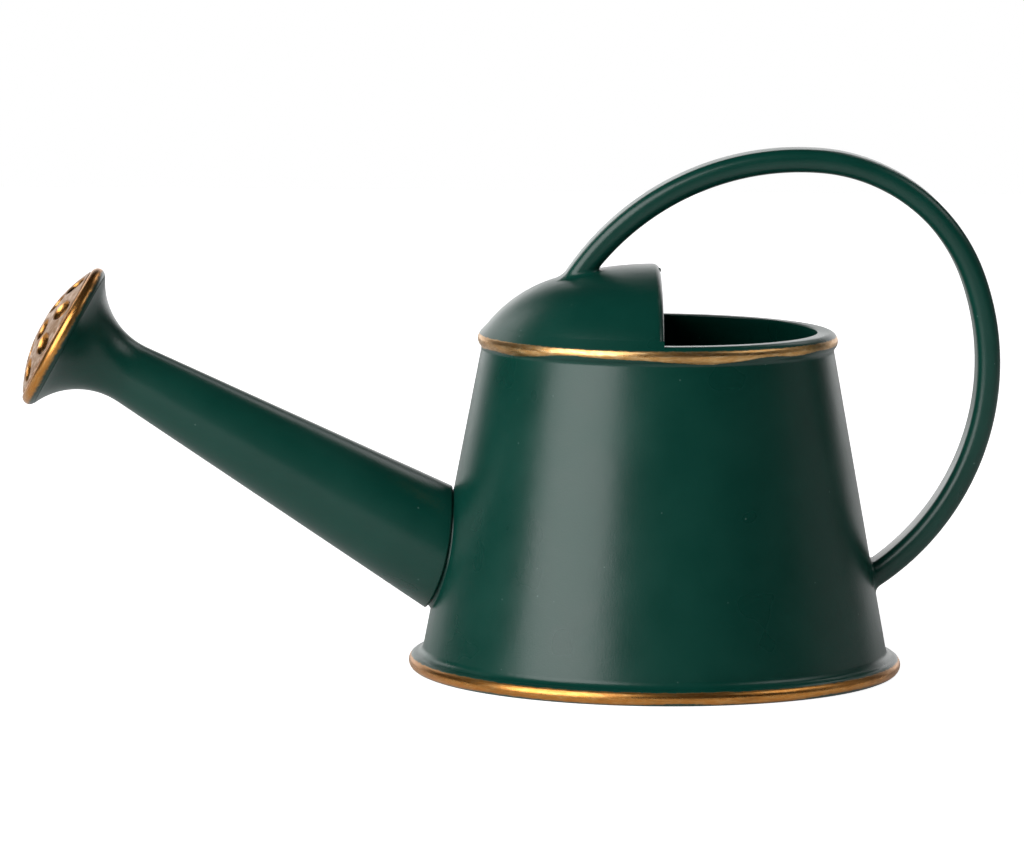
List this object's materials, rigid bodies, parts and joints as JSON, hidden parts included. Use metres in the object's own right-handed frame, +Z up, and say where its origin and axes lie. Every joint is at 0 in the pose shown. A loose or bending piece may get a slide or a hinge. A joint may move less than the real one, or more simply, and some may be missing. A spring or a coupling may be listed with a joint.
{
  "type": "watering can",
  "caption": "Miniature metal watering can with a conical body, half hood, long tapered spout, dimpled rose and arched strap handle.",
  "frame": {"origin": "centre of the flat underside, on the surface that the can stands on", "axes": "+Z up along the body's axis; the spout points along -X and the handle stands on +X; +Y across the can"},
  "size_m": [0.0932, 0.0472, 0.0501],
  "materials": {
    "green_paint": "satin dark green enamel, fine orange peel",
    "antique_gold": "brushed-on antique gold with brown patina"
  },
  "bodies": {
    "root": {"body_shell": "green_paint", "base_plate": "green_paint", "rim_wire": "antique_gold", "rim_seam": "green_paint", "foot_wire": "antique_gold", "foot_seam": "green_paint", "hood": "green_paint", "hood_seam": "green_paint", "spout_tube": "green_paint", "spout_seam": "green_paint", "rose_bell": "green_paint", "rose_wire": "antique_gold", "rose_face": "antique_gold", "handle_strap": "green_paint", "handle_front_seam": "green_paint", "handle_rear_seam": "green_paint"}
  },
  "joints": []
}
